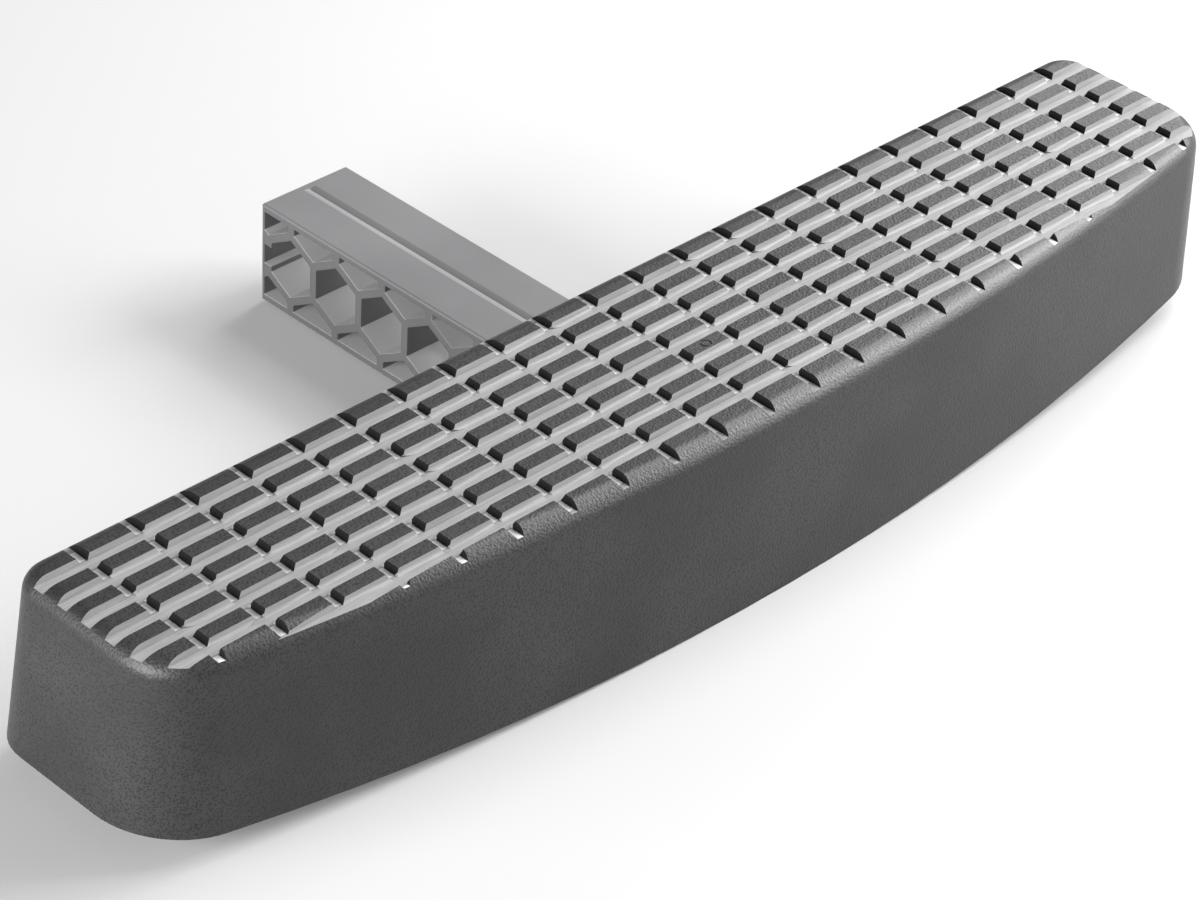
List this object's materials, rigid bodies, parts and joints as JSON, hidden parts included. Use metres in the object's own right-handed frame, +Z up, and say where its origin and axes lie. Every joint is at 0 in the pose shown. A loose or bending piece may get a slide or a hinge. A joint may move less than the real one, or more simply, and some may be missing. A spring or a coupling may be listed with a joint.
{
  "type": "hitch receiver step",
  "caption": "Bowed step for a hitch receiver: a hollow cover with a grooved tread, bolted to a ribbed frame and to a square, honeycomb-cored shank that slides into the receiver tube.",
  "frame": {"origin": "middle of the hitch pin bore, on the axis of the shank", "axes": "+X along the step and along the pin bore, +Y towards the vehicle along the shank, +Z up"},
  "size_m": [0.6352, 0.3036, 0.092],
  "materials": {
    "cover": "fine leather grain, near black",
    "receiver_shank": "smooth moulded grey, slightly worn edges",
    "under_frame": "smooth moulded dark grey",
    "steel": "zinc plated"
  },
  "bodies": {
    "root": {"frame_bolt_1": "steel", "frame_bolt_2": "steel", "frame_bolt_5": "steel", "frame_bolt_6": "steel", "receiver_shank": "receiver_shank", "shank_bolt_3": "steel", "shank_bolt_4": "steel", "step_cover": "cover", "under_frame": "under_frame"}
  },
  "joints": []
}
